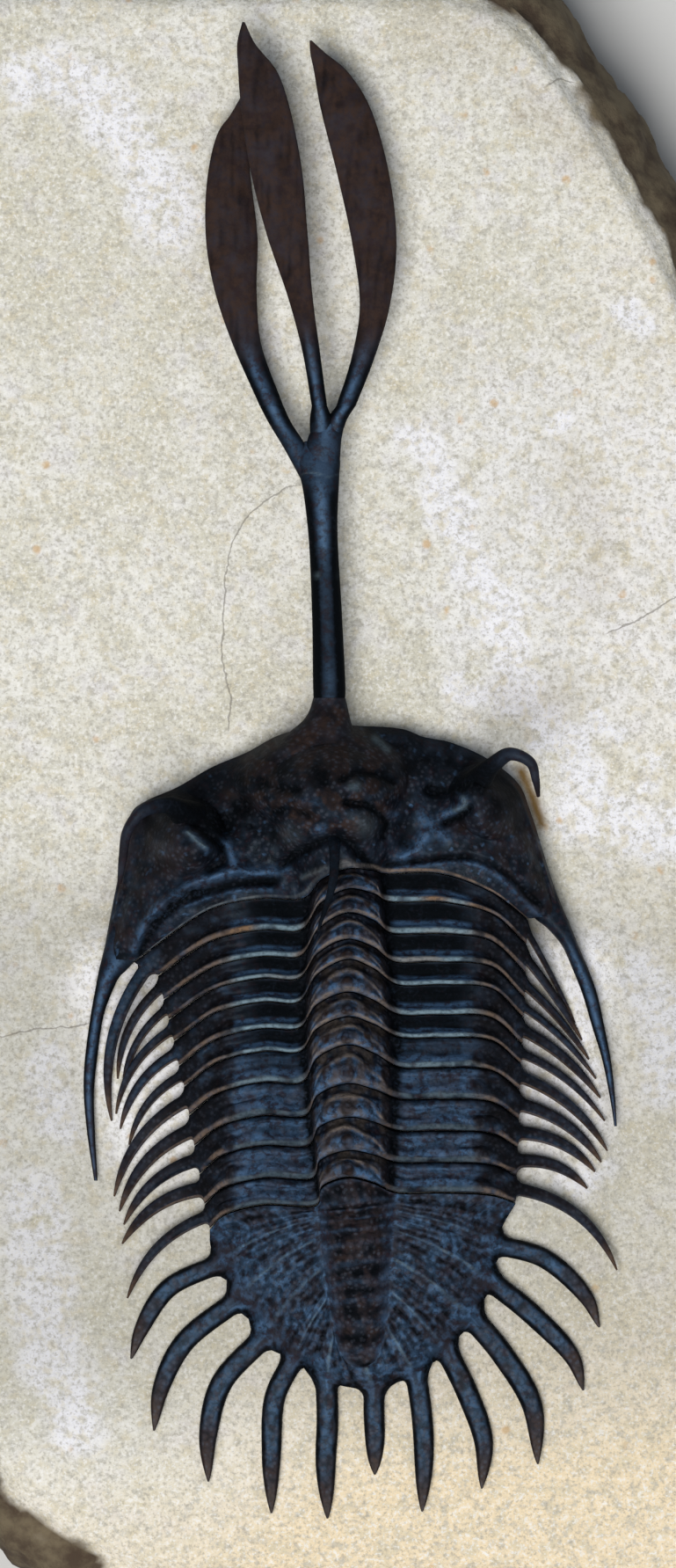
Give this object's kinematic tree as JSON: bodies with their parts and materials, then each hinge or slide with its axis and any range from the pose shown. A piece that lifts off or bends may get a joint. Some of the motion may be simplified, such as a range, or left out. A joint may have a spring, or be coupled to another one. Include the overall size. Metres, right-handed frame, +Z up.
{
  "type": "trilobite fossil on matrix",
  "caption": "Long-forked spiny trilobite lying back up on a rounded limestone slab, with a forked nose trident, curved genal spines and fringed thorax and tail.",
  "frame": {"origin": "under the middle of the stone, on the surface it rests on", "axes": "+Z up out of the stone, +Y towards the tips of the trident, +X to the animal's right"},
  "size_m": [0.0474, 0.097, 0.021],
  "materials": {
    "limestone": "matt, granular cream limestone with a brown weathered rind on its broken sides",
    "fossil_shell": "dark calcite shell, blue-black satin with brown matt patches"
  },
  "bodies": {
    "root": {"matrix_slab": "limestone", "cephalon": "fossil_shell", "trident_shaft": "fossil_shell", "trident_left_tine": "fossil_shell", "trident_middle_tine": "fossil_shell", "trident_right_tine": "fossil_shell", "thorax_segment_01": "fossil_shell", "thorax_segment_02": "fossil_shell", "thorax_segment_03": "fossil_shell", "thorax_segment_04": "fossil_shell", "thorax_segment_05": "fossil_shell", "thorax_segment_06": "fossil_shell", "thorax_segment_07": "fossil_shell", "thorax_segment_08": "fossil_shell", "thorax_segment_09": "fossil_shell", "thorax_segment_10": "fossil_shell", "thorax_segment_11": "fossil_shell", "pygidium": "fossil_shell"}
  },
  "joints": []
}
